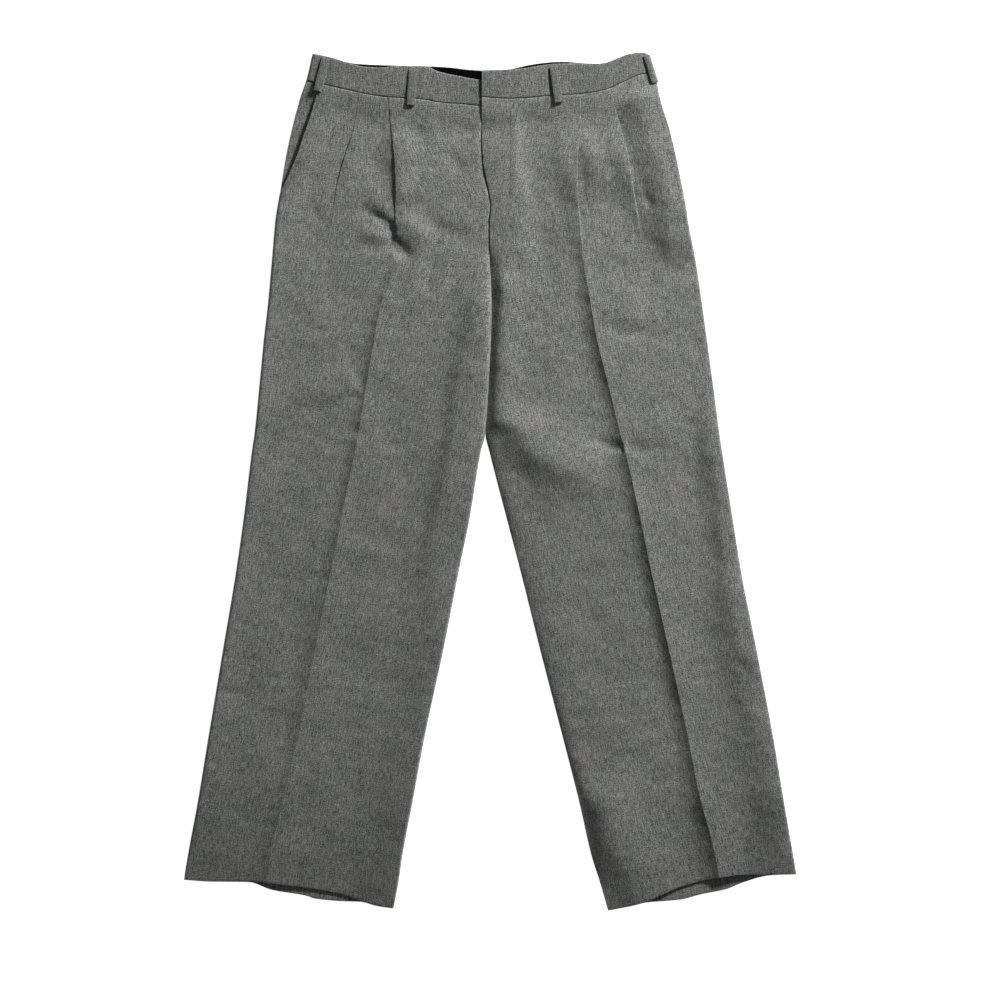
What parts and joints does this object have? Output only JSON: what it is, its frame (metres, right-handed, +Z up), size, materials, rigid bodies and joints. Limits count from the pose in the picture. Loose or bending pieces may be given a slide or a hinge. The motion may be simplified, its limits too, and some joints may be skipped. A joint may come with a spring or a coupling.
{
  "type": "pleated dress trousers",
  "caption": "Pleated dress trousers in a mid grey wool suiting, laid flat on their back, fly closed, with reverse pleats, pressed creases, slanted pockets and plain hems.",
  "frame": {"origin": "middle of the bounding box, on the surface the trousers lie on", "axes": "+Y from the hems to the waist, +X to the wearer's left, +Z up, out of the front of the trousers"},
  "size_m": [0.7776, 1.0901, 0.0119],
  "materials": {
    "suiting": "matte woven wool, two greys mixed",
    "waistband_cloth": "the same matte woven wool, pressed flat",
    "waistband_lining": "black lining, slight sheen"
  },
  "bodies": {
    "root": {"front_right": "suiting", "front_left": "suiting", "back_right": "suiting", "back_left": "suiting", "pocket_facing_right": "suiting", "pocket_facing_left": "suiting", "waistband_right": "waistband_cloth", "waistband_left": "waistband_cloth", "waistband_lining_right": "waistband_lining", "waistband_lining_left": "waistband_lining", "belt_loop_front_right": "waistband_cloth", "belt_loop_front_left": "waistband_cloth", "belt_loop_side_right": "waistband_cloth", "belt_loop_side_left": "waistband_cloth", "belt_loop_back_right": "waistband_cloth", "belt_loop_back_centre": "waistband_cloth", "belt_loop_back_left": "waistband_cloth"}
  },
  "joints": []
}
